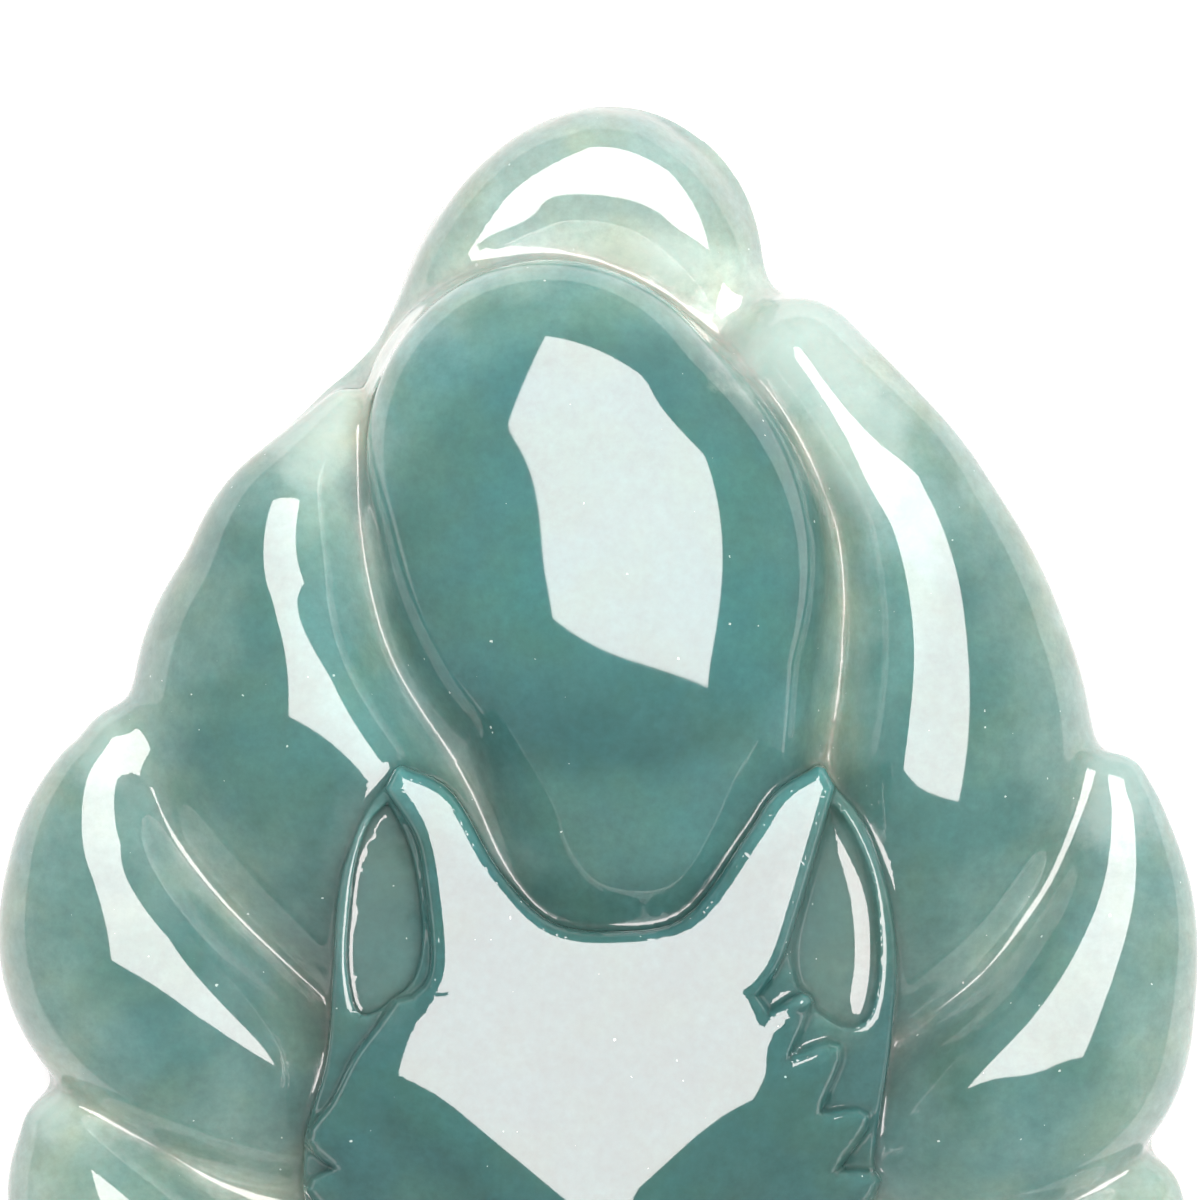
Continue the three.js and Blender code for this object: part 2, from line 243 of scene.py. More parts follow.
def parts_of_ball(tail, ball, p):
    """The squared shares of a ball's half width and height at each point, and those two lengths."""
    dx, dy = p[..., 0] - ball[..., 0], p[..., 1] - ball[..., 1]
    away = np.sqrt(dx * dx + dy * dy) + NEARLY_ZERO
    half = ball[..., 2] + ball[..., 3] * (ball[..., 5] * dy - ball[..., 6] * dx) / away
    lift = p[..., 2] - ball[..., 4]
    height = np.where(lift > 0, tail.get("rise", CROWN_RISE) * ball[..., 2], UNDERCUT * ball[..., 4])
    return (away / half) ** 2, (lift / height) ** 2, half, height


def ball_at(tail, place):
    low = np.clip(place.astype(int), 0, len(tail["balls"]) - 2)
    return tail["balls"][low] + (place - low)[..., None] * (tail["balls"][low + 1] - tail["balls"][low])


def nearest_ball(tail, p):
    """Where along the tail each point comes closest, as a number of rows."""
    bow = tail.get("power", CROWN_POWER) / 2
    across, up, _, _ = parts_of_ball(tail, tail["balls"][None, ::FINE], p[:, None])
    place = (across**bow + up**bow).argmin(1) * float(FINE)
    last = len(tail["balls"]) - 1
    for step in (FINE, FINE / 4, FINE / 8):
        place = np.clip(place, step, last - step)
        three = ball_at(tail, place[:, None] + step * np.array([-1, 0, 1]))
        across, up, _, _ = parts_of_ball(tail, three, p[:, None])
        before, here, after = (across**bow + up**bow).T
        bend = before - 2 * here + after
        uphill = before - after
        move = np.where(bend > TINY, 0.5 * uphill / np.maximum(bend, TINY), np.sign(uphill))
        place = np.clip(place + step * np.clip(move, -1, 1), 0, last)
    return place


def tail_distance(tail, p, place):
    """Roughly how far each point is outside the tail's skin, and below zero inside it."""
    power = tail.get("power", CROWN_POWER)
    across, up, half, height = parts_of_ball(tail, ball_at(tail, place), p)
    g = np.maximum(across ** (power / 2) + up ** (power / 2), TINY) ** (1 / power)
    steep = g ** (1 - power) * np.sqrt(across ** (power - 1) / half**2 + up ** (power - 1) / height**2)
    return (g - 1) / np.maximum(steep, LEAST_STEEPNESS)


for tail in TAILS:
    tail["balls"] = balls(tail)
    if "flank" in tail:
        tail["flank"]["balls"] = balls(tail["flank"])
    reach = tail["balls"][:, 2] + np.abs(tail["balls"][:, 3])
    tail["low"] = (tail["balls"][:, :2] - reach[:, None]).min(0)
    tail["high"] = (tail["balls"][:, :2] + reach[:, None]).max(0)


def union(a, b, fillet):
    """Joins two solids with a hollow fillet between them."""
    h = np.maximum(fillet - np.abs(a - b), 0) / fillet
    return np.minimum(a, b) - fillet * h**3 / 6


def cut(a, b, rounding):
    """What is inside both solids, with the edge between them rounded."""
    return -union(-a, -b, rounding)


# The head: a face whose flat forehead faces the viewer, in front of two ears with a hollow cup.
# It is carved from the same stone, and the locks of fur on the cheeks are nicked into its edge.
EAR_TOP = 8.7
FACE_TOP = 9.5
# Planes that slope away: heading in degrees, distance from the origin where the fall starts, and slope.
# A cheek's plane ends at a height up the pendant, which comes last.
CHEEK_SLOPES = [(154, 3.6, 24, -3), (0, 4.65, 24, -3.2)]
FACE_SLOPES = [(-130, 8.1, 30), (-47, 7.2, 30), (-90, 12, 24)]
EAR_SLOPES = [(180, 4.9, 14), (0, 4.9, 19)]
CUP_DEPTH = 0.6
CUP_ROUNDINGS = (0.25, 1.2)
CUP_RIM_ROUNDING = 0.3
EAR_EDGE_ROUNDING = 0.5
FACE_GROWTH = 0.25
FACE_EDGE_ROUNDING = 0.9
SLOPE_ROUNDING = 1
BROW_ROUNDING = 1
CHEEK_FADE = 0.6
EAR_FILLET = 0.3
BOSS_FILLET = 0.25
MUZZLE_FILLET = 0.8
HEAD_FILLET = 0.5
HEAD_HALF_WIDTH = 11
HEAD_REACH = (-20, 6)

CROWN = [
    (-5.9, 3.7), (-4.6, 3), (-3.3, 0.8), (-1.7, -0.8), (0.4, -1.1), (2.5, -0.6), (4.3, 1.8), (5.1, 3),
    (6.2, 3.7),
]
RIGHT_EAR_EDGE = [(6.4, 3.3), (5.7, 0.9), (5.4, -0.1), (4.9, -1.6), (4.2, -2.7)]
RIGHT_FUR = [
    (4.7, -3.4), (5.8, -2.9), (5.2, -4.6), (6.7, -4.3), (6.1, -6.2), (7.5, -6.3), (6.6, -7.9),
    (7.8, -8.2), (6.8, -9.8), (7.7, -10.1), (6.2, -11.5), (6.8, -12),
]
CHIN_EDGE = [
    (5.4, -13.2), (4, -14.7), (2.2, -16.3), (0, -17.4), (-2.2, -16.3), (-4, -14.7), (-5.6, -13.2),
]
LEFT_FUR = [
    (-7.2, -12.2), (-6.6, -11.4), (-8.3, -10.3), (-7.4, -9.6), (-8.5, -8.4), (-7.7, -7.8),
    (-8.45, -6.95), (-7.76, -5.9), (-7.12, -4.6), (-6.45, -3.7), (-5.95, -3),
]
LEFT_EAR_EDGE = [(-5.5, -2.9), (-5, -2.4), (-4.8, -1.5), (-5, 0.6), (-5.3, 2), (-6.1, 3.3)]
LEFT_EAR_OUTSIDE = [
    (-5.9, 3.8), (-6.9, 2.7), (-7.7, 0.6), (-7.9, -1.9), (-8.1, -4.6), (-8.7, -6.8), (-8.7, -9),
    (-7.6, -11.3), (-5.8, -13),
]
LEFT_EAR_INSIDE = [(-3.8, -12.6), (-3.8, 0), (-4.8, 2.5)]
RIGHT_EAR_OUTSIDE = [
    (6.2, 3.8), (7.4, 2.5), (8.1, 0.8), (8.5, -1.5), (8.3, -4.3), (7.9, -7.1), (7.7, -10), (7, -11.7),
    (5.6, -13),
]
RIGHT_EAR_INSIDE = [(3.7, -12.6), (3.7, 0), (4.8, 2)]
LEFT_CUP_EDGE = [
    (-6.3, 2.9), (-5.7, 1.7), (-5.4, 0.3), (-5.3, -1.2), (-5.6, -2.3), (-6.5, -3.1), (-7.2, -3.2),
    (-7.5, -1.9), (-7.45, -0.5), (-7.25, 1.1), (-6.85, 2.3), (-6.3, 2.9),
]
RIGHT_CUP_EDGE = [
    (6.55, 3), (7.15, 2.2), (7.75, 0.85), (8, -0.6), (8, -2.2), (7.7, -3.4), (7, -3.7), (6.1, -3.2),
    (5.5, -2.4), (5.35, -1.4), (5.6, -0.1), (6, 1.3), (6.3, 2.6), (6.55, 3),
]
FACE_EDGES = [
    (CROWN, 40), (RIGHT_EAR_EDGE, 16), (RIGHT_FUR, 56), (CHIN_EDGE, 24), (LEFT_FUR, 41),
    (LEFT_EAR_EDGE, 20),
]
EAR_POINTS = 40
CUP_POINTS = 60
FACE = np.vstack([spine(edge, count) for edge, count in FACE_EDGES])
LEFT_EAR = np.vstack([spine(LEFT_EAR_OUTSIDE, EAR_POINTS), LEFT_EAR_INSIDE])
RIGHT_EAR = np.vstack([spine(RIGHT_EAR_OUTSIDE, EAR_POINTS), RIGHT_EAR_INSIDE])
LEFT_CUP = spine(LEFT_CUP_EDGE, CUP_POINTS)
RIGHT_CUP = spine(RIGHT_CUP_EDGE, CUP_POINTS)

# Balls as centre, half sizes and turn: the brows' two hollows, then the eyes, the nose and its wings
BROWS = [((-4.9, -8.9, 9.6), (3.9, 1.3, 1.2), -50), ((4.9, -8.9, 9.6), (3.9, 1.3, 1.2), -130)]
BOSSES = [
    ((-4.1, -10.3, 8.1), (1.6, 0.75, 0.8), -38),
    ((4.1, -10.3, 8.1), (1.6, 0.75, 0.8), -142),
    ((0, -15.9, 8.9), (0.95, 0.7, 0.9), 0),
    ((-0.9, -16.2, 7.6), (1.1, 0.9, 1), 0),
    ((0.9, -16.2, 7.6), (1.1, 0.9, 1), 0),
]
NOSE_RIDGE = {
    "rise": 0.75,
    "stations": [(0, -9.5, 1.2, 1.2, 8.3), (0, -12, 1.6, 1.6, 8.2), (0, -15.6, 1.7, 1.7, 8.1)],
}
JAW = {
    "rise": 0.5,
    "stations": [(0, -11.5, 2.2, 2.2, 7), (0, -14.6, 2.6, 2.6, 6.8), (0, -16.2, 1.9, 1.9, 6.6)],
}
for part in (NOSE_RIDGE, JAW):
    part["balls"] = balls(part)


def nearest_side(outline, p):
    """Which side of a closed outline each point is nearest to, and whether it is inside."""
    best = np.full(len(p), np.inf)
    side = np.zeros(len(p), int)
    inside = np.zeros(len(p), bool)
    x, y = p[:, 0], p[:, 1]
    for i, ((ax, ay), (bx, by)) in enumerate(zip(outline, np.roll(outline, -1, axis=0))):
        ex, ey = bx - ax, by - ay
        wx, wy = x - ax, y - ay
        t = np.clip((wx * ex + wy * ey) / (ex * ex + ey * ey), 0, 1)
        away = (wx - t * ex) ** 2 + (wy - t * ey) ** 2
        side[away < best] = i
        best = np.minimum(best, away)
        if ey:
            inside ^= ((ay > y) != (by > y)) & (x < ax + wy * ex / ey)
    return side, inside


def outline_distance(outline, p, side, inside):
    """The distance of each point from an outline, seen from the front, below zero inside."""
    a = outline[side]
    e = np.roll(outline, -1, axis=0)[side] - a
    w = p[:, :2] - a
    length = np.linalg.norm(e, axis=1)
    t = (w * e).sum(1) / length**2
    beside = np.abs(w[:, 0] * e[:, 1] - w[:, 1] * e[:, 0]) / length
    corner = np.linalg.norm(w - np.clip(t, 0, 1)[:, None] * e, axis=1)
    return np.where(inside, -1, 1) * np.where((t > 0) & (t < 1), beside, corner)


def ball_distance(ball, p):
    (x, y, z), half, turn = ball
    c, s = math.cos(math.radians(turn)), math.sin(math.radians(turn))
    dx, dy = p[:, 0] - x, p[:, 1] - y
    local = np.column_stack([dx * c + dy * s, dy * c - dx * s, p[:, 2] - z]) / half
    g = np.linalg.norm(local, axis=1)
    return g * (g - 1) / np.maximum(np.linalg.norm(local / half, axis=1), LEAST_STEEPNESS)


def over_slope(p, top, heading, distance, slope):
    """How far above a plane that falls away from a line at the given height."""
    h, s = math.radians(heading), math.radians(slope)
    out = p[:, 0] * math.cos(h) + p[:, 1] * math.sin(h) - distance
    return (p[:, 2] - top) * math.cos(s) + out * math.sin(s)


def ear_distance(p, outline, cup, slope, hollowing, place, in_cup):
    """How far outside one ear, which has a cup sunk into its sloping front."""
    above = over_slope(p, EAR_TOP, *slope)
    for fall in FACE_SLOPES:
        above = cut(above, over_slope(p, EAR_TOP, *fall), SLOPE_ROUNDING)
    rim = cut(outline_distance(outline, p, *place), above, EAR_EDGE_ROUNDING)
    hollow = cut(outline_distance(cup, p, *in_cup), -above - CUP_DEPTH, hollowing)
    return cut(rim, -hollow, CUP_RIM_ROUNDING)


def face_distance(p, place):
    """How far outside the face, whose forehead is flat and whose cheeks and muzzle slope away."""
    top = p[:, 2] - FACE_TOP
    for fall in FACE_SLOPES:
        top = cut(top, over_slope(p, FACE_TOP, *fall), SLOPE_ROUNDING)
    for heading, distance, slope, up_to in CHEEK_SLOPES:
        cheek = union(over_slope(p, FACE_TOP, heading, distance, slope), up_to - p[:, 1], CHEEK_FADE)
        top = cut(top, cheek, SLOPE_ROUNDING)
    face = cut(outline_distance(FACE, p, *place) - FACE_GROWTH, top, FACE_EDGE_ROUNDING)
    for ball in BROWS:
        face = cut(face, -ball_distance(ball, p), BROW_ROUNDING)
    return face


def head_distance(p, found):
    if "outlines" not in found:
        outlines = LEFT_EAR, RIGHT_EAR, FACE, LEFT_CUP, RIGHT_CUP
        found["outlines"] = [nearest_side(outline, p) for outline in outlines]
        found["muzzle"] = [nearest_ball(part, p) for part in (NOSE_RIDGE, JAW)]
    places = found["outlines"]
    ears = [
        ear_distance(p, *ear)
        for ear in zip(
            (LEFT_EAR, RIGHT_EAR), (LEFT_CUP, RIGHT_CUP), EAR_SLOPES, CUP_ROUNDINGS, places, places[3:]
        )
    ]
    head = union(np.minimum(*ears), face_distance(p, places[2]), EAR_FILLET)
    for ball in BOSSES:
        head = union(head, ball_distance(ball, p), BOSS_FILLET)
    for part, place in zip((NOSE_RIDGE, JAW), found["muzzle"]):
        head = union(head, tail_distance(part, p, place), MUZZLE_FILLET)
    return head


# The back: ground flat on the same stone, with a small rounding at its edge. Two slanted bores,
# drilled until they meet inside, take the cord.
CORD_HOLE = 1.3
CORD_HOLE_Y = 18.6
CORD_HOLE_SPREAD = 1.9
CORD_HOLE_LEAN = 40
# Each bore runs this much farther than to the middle, where they meet
CORD_HOLE_OVERRUN = 1.35
CORD_HOLE_DEPTH = CORD_HOLE_OVERRUN * CORD_HOLE_SPREAD / math.sin(math.radians(CORD_HOLE_LEAN))
CORD_HOLE_END_ROUNDING = 0.3
CORD_HOLE_RIM_ROUNDING = 0.25
# Half the size of the box that the bores are looked for in
CORD_HOLE_BOX = (6, 3, 6)
BACK_ROUNDING = 0.5


def bore_distance(side, p):
    lean = math.radians(CORD_HOLE_LEAN)
    out = np.array([side * math.sin(lean), 0, -math.cos(lean)])
    w = p - np.array([side * CORD_HOLE_SPREAD, CORD_HOLE_Y, 0])
    along = w @ out
    radial = np.linalg.norm(w - along[:, None] * out, axis=1) - CORD_HOLE / 2
    return cut(radial, -along - CORD_HOLE_DEPTH, CORD_HOLE_END_ROUNDING)


# The whole stone: tails, head and back joined in one skin, as they are in the real pebble. Each form is
# looked at only near its own place, because it makes no difference elsewhere.
FAR = 50.0
TAIL_MARGIN = 2.0


def stone_distance(p, found=None):
    """Roughly how far each point is outside the whole stone, and below zero inside it.

    What is nearest to each point is kept in found, for the small steps that measure a slope.
    """
    found = {} if found is None else found
    d = np.full(len(p), FAR)
    for tail in TAILS:
        name = tail["name"]
        if name not in found:
            inside = (p[:, :2] > tail["low"] - TAIL_MARGIN) & (p[:, :2] < tail["high"] + TAIL_MARGIN)
            near = np.flatnonzero(inside.all(1))
            found[name] = near, nearest_ball(tail, p[near])
            if "flank" in tail:
                found["flank"] = nearest_ball(tail["flank"], p[near])
        near, place = found[name]
        skin = tail_distance(tail, p[near], place)
        if "flank" in tail:
            skin = union(skin, tail_distance(tail["flank"], p[near], found["flank"]), FLANK_FILLET)
        d[near] = union(d[near], skin, tail.get("fillet", FILLET))
    if "head" not in found:
        low, high = HEAD_REACH
        in_height = (p[:, 1] < high) & (p[:, 1] > low)
        found["head"] = np.flatnonzero((np.abs(p[:, 0]) < HEAD_HALF_WIDTH) & in_height)
        found["holes"] = np.flatnonzero((np.abs(p - (0, CORD_HOLE_Y, 0)) < CORD_HOLE_BOX).all(1))
    near = found["head"]
    d[near] = union(d[near], head_distance(p[near], found), HEAD_FILLET)
    d = cut(d, -p[:, 2], BACK_ROUNDING)
    near = found["holes"]
    for side in (-1, 1):
        d[near] = cut(d[near], -bore_distance(side, p[near]), CORD_HOLE_RIM_ROUNDING)
    return d


def slope_of(p, step=0.01):
    """The way straight out of the stone at each point, from small steps each way."""
    found = {}
    stone_distance(p, found)
    out = np.empty_like(p)
    for axis in range(3):
        move = np.zeros(3)
        move[axis] = step
        out[:, axis] = stone_distance(p + move, found) - stone_distance(p - move, found)
    return out / (2 * step)


# The stone's mesh: the solid is remeshed evenly and its vertices are moved onto the carved skin, twice,
# so that no fold stays where a cleft closes. It is then refined where the skin bends sharply.
MIDDLE = np.array([-0.224, 0.074, 0])
VOXEL = 0.28
SETTLE_ROUNDS = (6, 4)
PROBE = 0.02
LEAST_SLOPE = 0.05
LONGEST_MOVE = 0.4
FINE_MOVE = 0.1
FINE_SETTLING = 3
FINE_ROUNDS = 3
# Edges are halved where the skin turns by these degrees along them, above and below the back's edge
FINE_BEND = 8
BACK_BEND = 30
BACK_EDGE = 1
SHORTEST_EDGE = 0.09
MERGE_DISTANCE = 1e-6


def positions(mesh):
    co = np.empty(len(mesh.vertices) * 3)
    mesh.vertices.foreach_get("co", co)
    return co.reshape(-1, 3)


def set_positions(mesh, p):
    mesh.vertices.foreach_set("co", p.ravel())
    mesh.update()


def onto_skin(p, rounds=1, most=LONGEST_MOVE):
    """Moves points along the skin's slope until they lie on it."""
    for _ in range(rounds):
        found = {}
        here = stone_distance(p, found)
        n = np.column_stack([stone_distance(p + PROBE * way, found) - here for way in np.eye(3)]) / PROBE
        move = -here[:, None] * n / np.maximum((n**2).sum(1), LEAST_SLOPE)[:, None]
        length = np.maximum(np.linalg.norm(move, axis=1), NEARLY_ZERO)
        p = p + move * np.minimum(1, most / length)[:, None]
    return p


def settle(mesh, rounds):
    """Evens out a mesh and moves it onto the skin, in turns."""
    p = positions(mesh)
    ends = np.empty(len(mesh.edges) * 2, int)
    mesh.edges.foreach_get("vertices", ends)
    start, end = ends.reshape(-1, 2).T
    neighbours = np.bincount(ends, minlength=len(p))[:, None]
    for _ in range(rounds):
        total = np.zeros_like(p)
        for axis in range(3):
            from_ends = np.bincount(start, p[end, axis], len(p))
            total[:, axis] = from_ends + np.bincount(end, p[start, axis], len(p))
        p = onto_skin(0.5 * p + 0.5 * total / neighbours)
    set_positions(mesh, onto_skin(p))


def slopes_at(p):
    n = slope_of(p)
    return n / np.linalg.norm(n, axis=1)[:, None]


stone_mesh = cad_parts[STONE].data.copy()
stone_mesh.name = "jadeite_stone"
stone_mesh.materials.clear()
stone = bpy.data.objects.new("jadeite_stone", stone_mesh)
bpy.context.scene.collection.objects.link(stone)
bm = bmesh.new()
bm.from_mesh(stone_mesh)
bmesh.ops.remove_doubles(bm, verts=bm.verts, dist=MERGE_DISTANCE)
bmesh.ops.scale(bm, vec=(1 / MM, 1 / MM, 1 / MM), verts=bm.verts)
bmesh.ops.translate(bm, vec=MIDDLE, verts=bm.verts)
bm.to_mesh(stone_mesh)
bm.free()
for rounds in SETTLE_ROUNDS:
    remesh = stone.modifiers.new("even", "REMESH")
    remesh.mode = "VOXEL"
    remesh.voxel_size = VOXEL
    even = bpy.data.meshes.new_from_object(stone.evaluated_get(bpy.context.evaluated_depsgraph_get()))
    stone.modifiers.remove(remesh)
    settle(even, rounds)
    stone.data = even

bm = bmesh.new()
bm.from_mesh(even)
for _ in range(FINE_ROUNDS):
    p = np.array([v.co for v in bm.verts])
    n = slopes_at(p)
    bent = np.cos(np.radians(np.where(p[:, 2] > BACK_EDGE, FINE_BEND, BACK_BEND)))
    chosen = []
    for edge in bm.edges:
        i, j = (v.index for v in edge.verts)
        if n[i] @ n[j] < bent[i] and edge.calc_length() > SHORTEST_EDGE:
            chosen.append(edge)
    bmesh.ops.subdivide_edges(bm, edges=chosen, cuts=1, use_grid_fill=True)
    bm.verts.index_update()
    p = np.array([v.co for v in bm.verts])
    p[len(n) :] = onto_skin(p[len(n) :], FINE_SETTLING, FINE_MOVE)
    for v, co in zip(bm.verts, p):
        v.co = co
bmesh.ops.triangulate(bm, faces=bm.faces)
bm.to_mesh(even)
bm.free()
p = positions(even)
set_positions(even, (p - MIDDLE) * MM)
even.shade_smooth()
even.normals_split_custom_set_from_vertices(slopes_at(p))
even.name = "jadeite_stone"

# The finish: polished jadeite that light sinks into. It is darkest where the stone is thick round the
# head, and pales to a milky green where it is thin, with clouds, fine grain and white flecks in it.
POLISH_ROUGHNESS = 0.04
JADEITE_IOR = 1.66
# How far light sinks in: in metres, and each colour's share of it
LIGHT_REACH = 0.0012
REACH_SHARES = (0.5, 1.0, 1.0)
# From thin stone to thick: the share of the full depth, and the colour there
DEPTH_COLOURS = [
    (0.15, (0.22, 0.31, 0.275)),
    (0.35, (0.125, 0.222, 0.198)),
    (0.6, (0.057, 0.144, 0.132)),
    (0.95, (0.041, 0.144, 0.138)),
]
THIN_HEIGHT = 3
THICK_HEIGHT = 9.8
# The stone thins out between these distances from the head, by that share
DEEP_CENTRE = (0.2, -4.1, 0)
THINS_OUT = (14, 22)
THINNED_BY = 0.24
DEPTH_CLOUDS = (0.35, 3)
DEPTH_CLOUD_SWING = 0.1
# Round the head the stone is darker, up to these distances
DARK_ROUND_HEAD = (8.5, 12.5)
HEAD_DARKNESS = 0.72
# A paler, pinkish band of painted highlight runs round the middle tail, in the flanks of the two tails
# beside it, where the hollows between them catch the light
PAINTED_HIGHLIGHT_BAND_CENTRE = (0.4, 10, 0)
PAINTED_HIGHLIGHT_BAND_RADIUS = 8
PAINTED_HIGHLIGHT_BAND_EDGES = (0.8, 2.2)
PAINTED_HIGHLIGHT_BAND_TINT = (1.6, 1.42, 1.42)
# Tints: the noise (scale and detail), the span of it that is read, the most of the tint, and the tint
BLUE_TINT = ((0.22, 1), (0.4, 0.7), 0.6, (0.92, 1, 1.1))
OLIVE_TINT = ((0.5, 3), (0.45, 0.65), 1, (1.06, 1, 0.92))
# Light and dark: the noise (scale, detail and roughness), the span that is read, and the swing
CLOUDS = ((0.8, 4, 0.6), (0.3, 0.7), 0.09)
GRAIN = ((3.5, 6, 0.7), (0.25, 0.75), 0.13)
# Pale milky patches, partly cloud in the stone and partly painted reflection and glints of the light on
# the polish: centre, half width and strength
CLOUD_AND_SHEEN_PATCHES = [
    ((5.6, 16.2), (2.3, 1.9), 0.75),
    ((7.6, 13.2), (1.6, 2.2), 0.55),
    ((-8.5, 13.9), (1.5, 1.9), 0.6),
    ((1.3, 18.6), (1.8, 0.7), 0.45),
    ((-16.1, -6.2), (0.7, 0.9), 0.6),
    ((-14.6, 4.3), (0.9, 1.2), 0.45),
    ((15.1, 2.9), (1.1, 1.8), 0.5),
    ((-6.5, -0.3), (1.6, 3.6), 0.12),
    ((6.8, -0.6), (1.6, 3.6), 0.12),
]
CLOUD_AND_SHEEN_COLOUR = (0.31, 0.4, 0.37)
CLOUD_AND_SHEEN_EDGES = (0.1, 1.5)
CLOUD_AND_SHEEN_NOISE = (1.1, 5, 0.6)
CLOUD_AND_SHEEN_RAGGEDNESS = 0.45
# White flecks of odd shapes, up to a tenth of a millimetre across, in about half of the cells
CELLS_PER_MM = 2
FLECK_SIZE = 0.1
FLECK_NOISE = (14, 2)
FLECK_UNEVENNESS = 0.04
FLECK_COLOUR = (0.42, 0.52, 0.49)
# Most of the noise lies in this span
NOISE_SPAN = (0.3, 0.7)

jade = bpy.data.materials.new("polished_jadeite")
jade.use_nodes = True
nodes, links = jade.node_tree.nodes, jade.node_tree.links
shader = nodes["Principled BSDF"]
shader.inputs["Roughness"].default_value = POLISH_ROUGHNESS
shader.inputs["IOR"].default_value = JADEITE_IOR
shader.inputs["Subsurface Weight"].default_value = 1.0
shader.inputs["Subsurface Radius"].default_value = REACH_SHARES
shader.inputs["Subsurface Scale"].default_value = LIGHT_REACH


def node(kind, **settings):
    made = nodes.new("ShaderNode" + kind)
    for name, value in settings.items():
        setattr(made, name, value)
    return made


def value_of(socket, source):
    """Links a socket to a source, or sets it where the source is a number or a colour."""
    if isinstance(source, bpy.types.NodeSocket):
        links.new(source, socket)
    else:
        socket.default_value = source


def maths(operation, *terms):
    made = node("Math", operation=operation)
    for socket, source in zip(made.inputs, terms):
        value_of(socket, source)
    return made.outputs[0]


def ranged(source, span, low, high, smooth=False):
    """Turns the span of a source into values from low to high."""
    made = node("MapRange", interpolation_type="SMOOTHSTEP" if smooth else "LINEAR")
    sockets = ("Value", "From Min", "From Max", "To Min", "To Max")
    for name, value in zip(sockets, (source, *span, low, high)):
        value_of(made.inputs[name], value)
    return made.outputs[0]


def mixed(kind, share, a, b):
    made = node("Mix", data_type="RGBA", blend_type=kind)
    for index, source in ((0, share), (6, a), (7, b)):
        value_of(made.inputs[index], source)
    return made.outputs[2]


def noise_at(scale, detail, roughness=0.5):
    made = node("TexNoise")
    links.new(place, made.inputs["Vector"])
    for name, value in (("Scale", scale), ("Detail", detail), ("Roughness", roughness)):
        made.inputs[name].default_value = value
    return made.outputs["Fac"]


def distance_from(centre):
    """The distance from an upright line through a point, in millimetres."""
    made = node("VectorMath", operation="DISTANCE")
    links.new(flat.outputs[0], made.inputs[0])
    made.inputs[1].default_value = centre
    return made.outputs["Value"]


def tinted(colour, noise, span, most, tint):
    return mixed("MULTIPLY", ranged(noise_at(*noise), span, 0, most), colour, (*tint, 1))


def mottled(colour, noise, span, swing):
    return mixed("MULTIPLY", 1.0, colour, ranged(noise_at(*noise), span, 1 - swing, 1 + swing))


millimetres = node("VectorMath", operation="SCALE")
links.new(node("TexCoord").outputs["Object"], millimetres.inputs[0])
millimetres.inputs["Scale"].default_value = 1 / MM
place = millimetres.outputs[0]
split = node("SeparateXYZ")
links.new(place, split.inputs[0])
flat = node("CombineXYZ")
for axis in "XY":
    links.new(split.outputs[axis], flat.inputs[axis])

from_head = distance_from(DEEP_CENTRE)
depth = ranged(split.outputs["Z"], (THIN_HEIGHT, THICK_HEIGHT), 0, 1)
depth = maths("SUBTRACT", depth, ranged(from_head, THINS_OUT, 0, THINNED_BY))
cloud_depth = ranged(noise_at(*DEPTH_CLOUDS), NOISE_SPAN, -DEPTH_CLOUD_SWING, DEPTH_CLOUD_SWING)
depth = maths("ADD", depth, cloud_depth)
ramp = node("ValToRGB")
links.new(depth, ramp.inputs[0])
stops = ramp.color_ramp.elements
stops[0].position, stops[1].position = DEPTH_COLOURS[0][0], DEPTH_COLOURS[-1][0]
for position, _ in DEPTH_COLOURS[1:-1]:
    stops.new(position)
for stop, (_, stop_colour) in zip(stops, DEPTH_COLOURS):
    stop.color = (*stop_colour, 1)
darker = ranged(from_head, DARK_ROUND_HEAD, HEAD_DARKNESS, 1, smooth=True)
colour = mixed("MULTIPLY", 1.0, ramp.outputs[0], darker)

# The painted highlight: a pinkish band that lightens the flanks round the middle tail
off_highlight_band = maths("ABSOLUTE", maths("SUBTRACT", distance_from(PAINTED_HIGHLIGHT_BAND_CENTRE), PAINTED_HIGHLIGHT_BAND_RADIUS))
colour = mixed("MULTIPLY", ranged(off_highlight_band, PAINTED_HIGHLIGHT_BAND_EDGES, 1, 0, smooth=True), colour, (*PAINTED_HIGHLIGHT_BAND_TINT, 1))
colour = tinted(colour, *BLUE_TINT)
colour = mottled(colour, *CLOUDS)
colour = tinted(colour, *OLIVE_TINT)
colour = mottled(colour, *GRAIN)

# Pale patches of cloud and painted reflection, with ragged edges, mixed over the colour
ragged = ranged(noise_at(*CLOUD_AND_SHEEN_NOISE), NOISE_SPAN, -CLOUD_AND_SHEEN_RAGGEDNESS, CLOUD_AND_SHEEN_RAGGEDNESS)
for (x, y), half, strength in CLOUD_AND_SHEEN_PATCHES:
    across = maths("DIVIDE", maths("SUBTRACT", split.outputs["X"], x), half[0])
    along = maths("DIVIDE", maths("SUBTRACT", split.outputs["Y"], y), half[1])
    reach = maths("ADD", maths("MULTIPLY", across, across), maths("MULTIPLY", along, along))
    share = ranged(maths("ADD", reach, ragged), CLOUD_AND_SHEEN_EDGES, strength, 0, smooth=True)
    colour = mixed("MIX", share, colour, (*CLOUD_AND_SHEEN_COLOUR, 1))

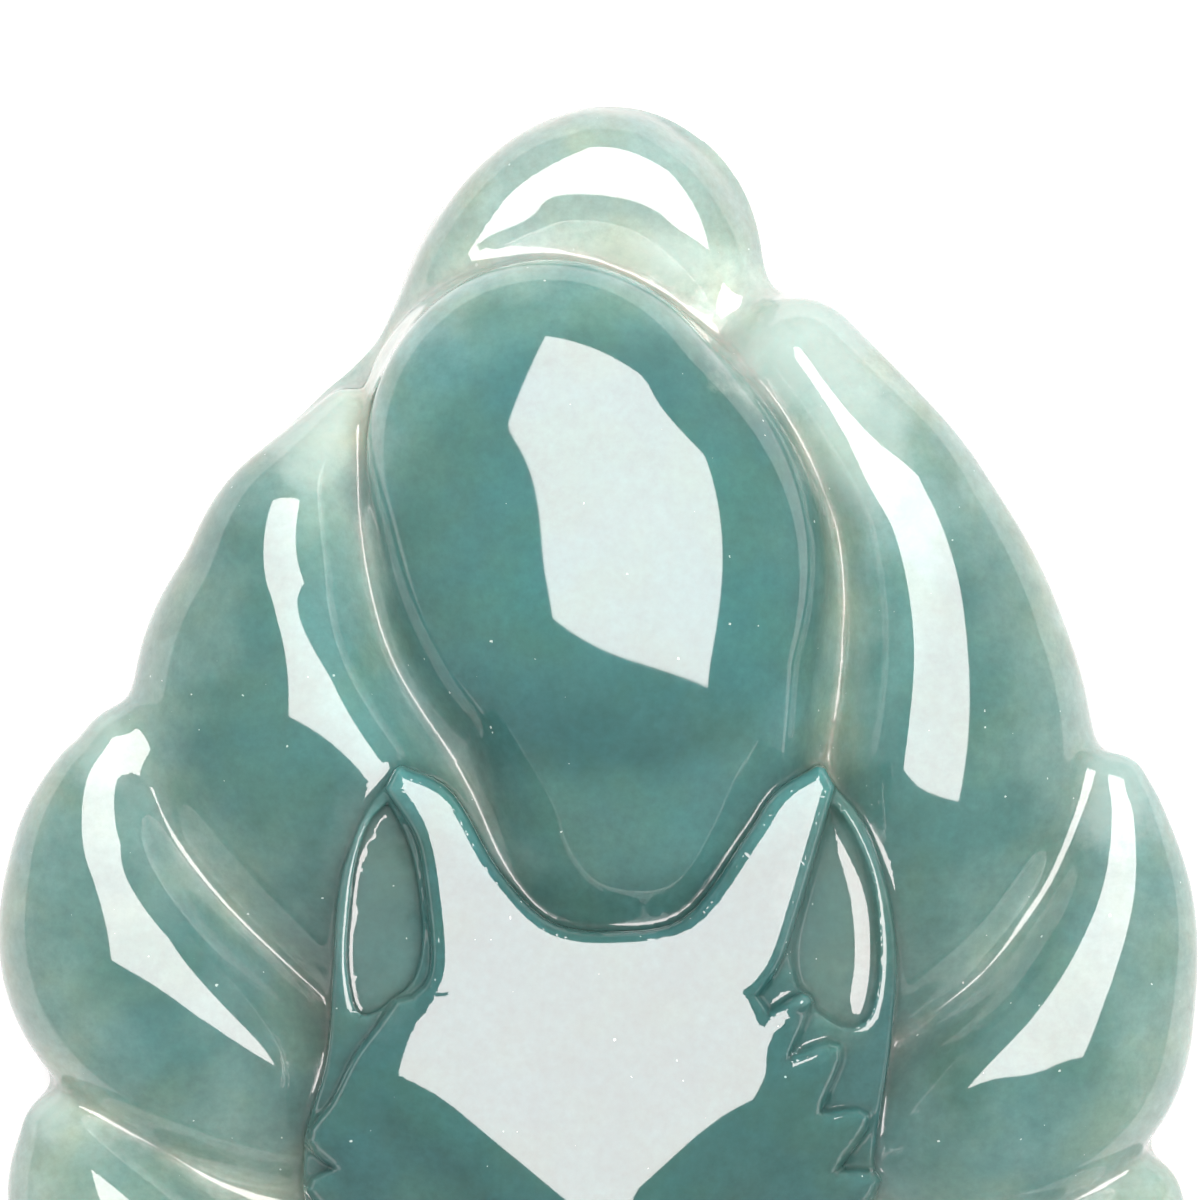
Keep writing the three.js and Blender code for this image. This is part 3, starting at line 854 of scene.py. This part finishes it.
flecks = node("TexVoronoi")
links.new(place, flecks.inputs["Vector"])
flecks.inputs["Scale"].default_value = CELLS_PER_MM
size = ranged(flecks.outputs["Color"], (0, 1), -FLECK_SIZE, FLECK_SIZE)
unevenness = ranged(noise_at(*FLECK_NOISE), NOISE_SPAN, -FLECK_UNEVENNESS, FLECK_UNEVENNESS)
fleck = maths("LESS_THAN", maths("ADD", flecks.outputs["Distance"], unevenness), size)
colour = mixed("MIX", fleck, colour, (*FLECK_COLOUR, 1))
links.new(colour, shader.inputs["Base Color"])
even.materials.append(jade)
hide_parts(STONE)
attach(stone, "root")

# The floor: a plain matt white table that the pendant lies on, for the picture only. It glows a little,
# so that the shadow round the stone stays as faint as in the photograph.
FLOOR_HALF = 1.5
FLOOR_SIDES = 2
FLOOR_GREY = 0.45
FLOOR_ROUGHNESS = 0.9
FLOOR_GLOW = 0.6
WHITE = (1, 1, 1, 1)
floor_mesh = bpy.data.meshes.new("floor")
bm = bmesh.new()
bmesh.ops.create_grid(bm, x_segments=FLOOR_SIDES, y_segments=FLOOR_SIDES, size=FLOOR_HALF)
bm.to_mesh(floor_mesh)
bm.free()
floor = bpy.data.objects.new("floor", floor_mesh)
bpy.context.scene.collection.objects.link(floor)
white = bpy.data.materials.new("white_table")
white.use_nodes = True
table_top = white.node_tree.nodes["Principled BSDF"]
table_top.inputs["Base Color"].default_value = (FLOOR_GREY, FLOOR_GREY, FLOOR_GREY, 1)
table_top.inputs["Roughness"].default_value = FLOOR_ROUGHNESS
table_top.inputs["Specular IOR Level"].default_value = 0.0
table_top.inputs["Emission Color"].default_value = WHITE
table_top.inputs["Emission Strength"].default_value = FLOOR_GLOW
floor_mesh.materials.append(white)

# The light: one wide softbox above the camera, a little to the right and behind it, and a dim room.
# Its place, size and turn come from the shapes of the reflections. Lengths are metres.
SOFTBOX_HEIGHT = 0.6
SOFTBOX_HALF = 0.49 * SOFTBOX_HEIGHT
SOFTBOX_ASIDE = (0.16 * SOFTBOX_HEIGHT, 0.23 * SOFTBOX_HEIGHT)
SOFTBOX_TURN = -12
SOFTBOX_BRIGHTNESS = 10.2
SOFTBOX_COLOUR = (1, 0.89, 0.88)
ROOM_COLOUR = (0.4, 0.42, 0.42)
softbox_data = bpy.data.lights.new("softbox", "AREA")
softbox_data.shape = "SQUARE"
softbox_data.size = 2 * SOFTBOX_HALF
softbox_data.color = SOFTBOX_COLOUR
softbox_data.energy = SOFTBOX_BRIGHTNESS * math.pi * (2 * SOFTBOX_HALF) ** 2
softbox = bpy.data.objects.new("softbox", softbox_data)
softbox.location = (*SOFTBOX_ASIDE, SOFTBOX_HEIGHT)
softbox.rotation_euler = (0, 0, math.radians(SOFTBOX_TURN))
bpy.context.scene.collection.objects.link(softbox)
world = bpy.data.worlds.new("room")
world.use_nodes = True
world.node_tree.nodes["Background"].inputs["Color"].default_value = (*ROOM_COLOUR, 1)
bpy.context.scene.world = world
bpy.context.scene.view_settings.view_transform = "Standard"

# The camera: straight above the upper part of the pendant, with a long lens, as the photograph has it.
# What it frames is worked out in millimetres, from the photograph's width in points.
PHOTO_WIDTH = 1200
POINT = 0.0293
FRAME_WIDTH = PHOTO_WIDTH * POINT
FRAME_MIDDLE = np.array([-0.15, 8.76, 4.5])
LENS = 400
SENSOR = 36
FARTHEST = 10
camera_data = bpy.data.cameras.new("camera")
camera_data.lens = LENS
camera_data.sensor_width = SENSOR
camera_data.clip_end = FARTHEST
camera = bpy.data.objects.new("camera", camera_data)
above_middle = np.array([0, 0, LENS * FRAME_WIDTH / SENSOR])
camera.location = (FRAME_MIDDLE - MIDDLE + above_middle) * MM
bpy.context.scene.collection.objects.link(camera)
bpy.context.scene.camera = camera
